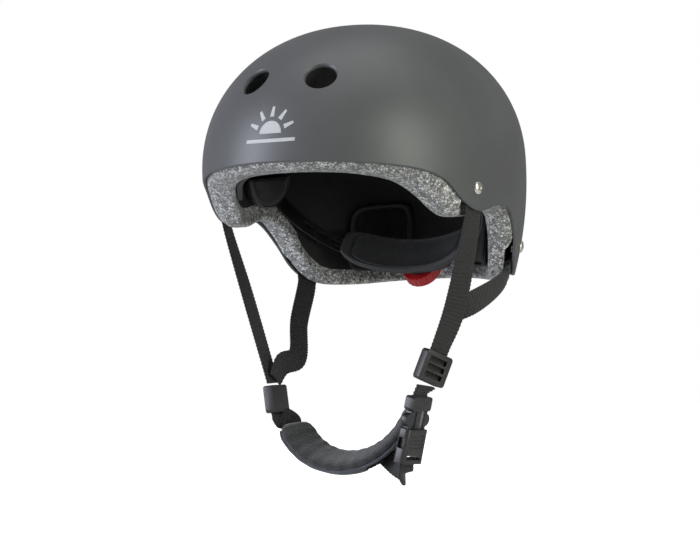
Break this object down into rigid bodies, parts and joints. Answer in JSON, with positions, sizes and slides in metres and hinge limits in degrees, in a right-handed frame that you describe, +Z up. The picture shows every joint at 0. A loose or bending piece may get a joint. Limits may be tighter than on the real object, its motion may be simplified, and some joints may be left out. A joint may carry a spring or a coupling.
{
  "type": "skate helmet",
  "caption": "Child's skate helmet with a matte shell, round vents, foam liner, dial-fit nape cradle and a webbing harness with a padded chin rest and side-release buckle.",
  "frame": {"origin": "middle of the head opening, level with the widest section of the shell", "axes": "+Z up through the crown, -Y is the way the face looks, +X is the wearer's left"},
  "size_m": [0.2, 0.2439, 0.2935],
  "materials": {
    "shell": "matte lacquered",
    "foam": "grey bead foam",
    "rivet": "polished",
    "washer": "plain",
    "hook": "hook tape",
    "liner": "brushed knit",
    "crown_mesh": "mesh knit",
    "black_plastic": "fine texture",
    "belt_plastic": "moulded",
    "pinion_plastic": "moulded",
    "red_plastic": "moulded",
    "webbing": "ribbed weave",
    "buckle_plastic": "moulded acetal",
    "chin_fabric": "fleece and knit"
  },
  "bodies": {
    "helmet": {"outer_shell": "shell", "foam_crown_front": "foam", "foam_crown_rear": "foam", "foam_front": "foam", "foam_left": "foam", "foam_right": "foam", "foam_rear": "foam", "front_rivets": "rivet", "rear_rivets": "rivet", "rivet_washers": "washer", "hook_patches": "hook", "brow_pad": "liner", "crown_pad": "crown_mesh", "rear_pad_left": "liner", "rear_pad_right": "liner", "side_pad_left": "liner", "side_pad_right": "liner", "fit_anchor_left": "black_plastic", "fit_anchor_right": "black_plastic", "anchor_studs": "black_plastic", "fit_belt_left": "belt_plastic", "fit_belt_right": "belt_plastic", "front_strap_left": "webbing", "rear_strap_left": "webbing", "front_strap_right": "webbing", "rear_strap_right": "webbing", "buckle_female": "buckle_plastic", "chin_strap": "webbing"},
    "cradle": {"dial_housing": "black_plastic", "nape_pad": "liner"},
    "dial": {"fit_dial": "red_plastic", "dial_pinion": "pinion_plastic", "dial_screw": "rivet"},
    "buckle_male_half": {"buckle_male": "buckle_plastic", "buckle_loop_left": "webbing"},
    "prong_left_arm": {"buckle_prong_left": "buckle_plastic"},
    "prong_right_arm": {"buckle_prong_right": "buckle_plastic"},
    "tri_glide": {"tri_glide_left": "buckle_plastic"},
    "strap_slider": {"strap_slider_right": "buckle_plastic"},
    "chin_rest": {"chin_pad": "chin_fabric"}
  },
  "joints": [
    {"name": "cradle_slide", "type": "slide", "parent": "helmet", "child": "cradle", "axis": [0, -0.7071, 0.7071], "range_m": [-0.002, 0.005], "deforming": ["fit_belt_left", "fit_belt_right"]},
    {"name": "dial_turn", "type": "hinge", "parent": "cradle", "child": "dial", "pos_m": [0, 0.06857, -0.06957], "axis": [0, 0.7071, -0.7071], "range_deg": [-46, 115]},
    {"name": "buckle_pull", "type": "slide", "parent": "helmet", "child": "buckle_male_half", "axis": [0.2286, 0.1143, 0.9668], "range_m": [0, 0.03], "deforming": ["front_strap_left", "rear_strap_left"]},
    {"name": "prong_left_press", "type": "hinge", "parent": "buckle_male_half", "child": "prong_left_arm", "pos_m": [0.05252, -0.0537, -0.15123], "axis": [0.9684, -0.1282, -0.2138], "range_deg": [0, 5], "stiffness_Nm_per_rad": 0.4},
    {"name": "prong_right_press", "type": "hinge", "parent": "buckle_male_half", "child": "prong_right_arm", "pos_m": [0.05403, -0.03882, -0.15335], "axis": [-0.9684, 0.1282, 0.2138], "range_deg": [0, 5], "stiffness_Nm_per_rad": 0.4},
    {"name": "tri_glide_slide", "type": "slide", "parent": "buckle_male_half", "child": "tri_glide", "axis": [0.2759, 0.3547, 0.8933], "range_m": [0, 0.012]},
    {"name": "slider_slide", "type": "slide", "parent": "helmet", "child": "strap_slider", "axis": [-0.1197, 0.0998, 0.9878], "range_m": [0, 0.008], "deforming": ["front_strap_right", "rear_strap_right"]},
    {"name": "chin_pad_shift", "type": "hinge", "parent": "helmet", "child": "chin_rest", "pos_m": [-0.006, -0.0246, -0.1416], "axis": [0, -0.9455, 0.3256], "range_deg": [0, 5]}
  ],
  "couplings": [
    {"joint": "dial_turn", "follows": "cradle_slide", "rad_per_m": 400}
  ]
}
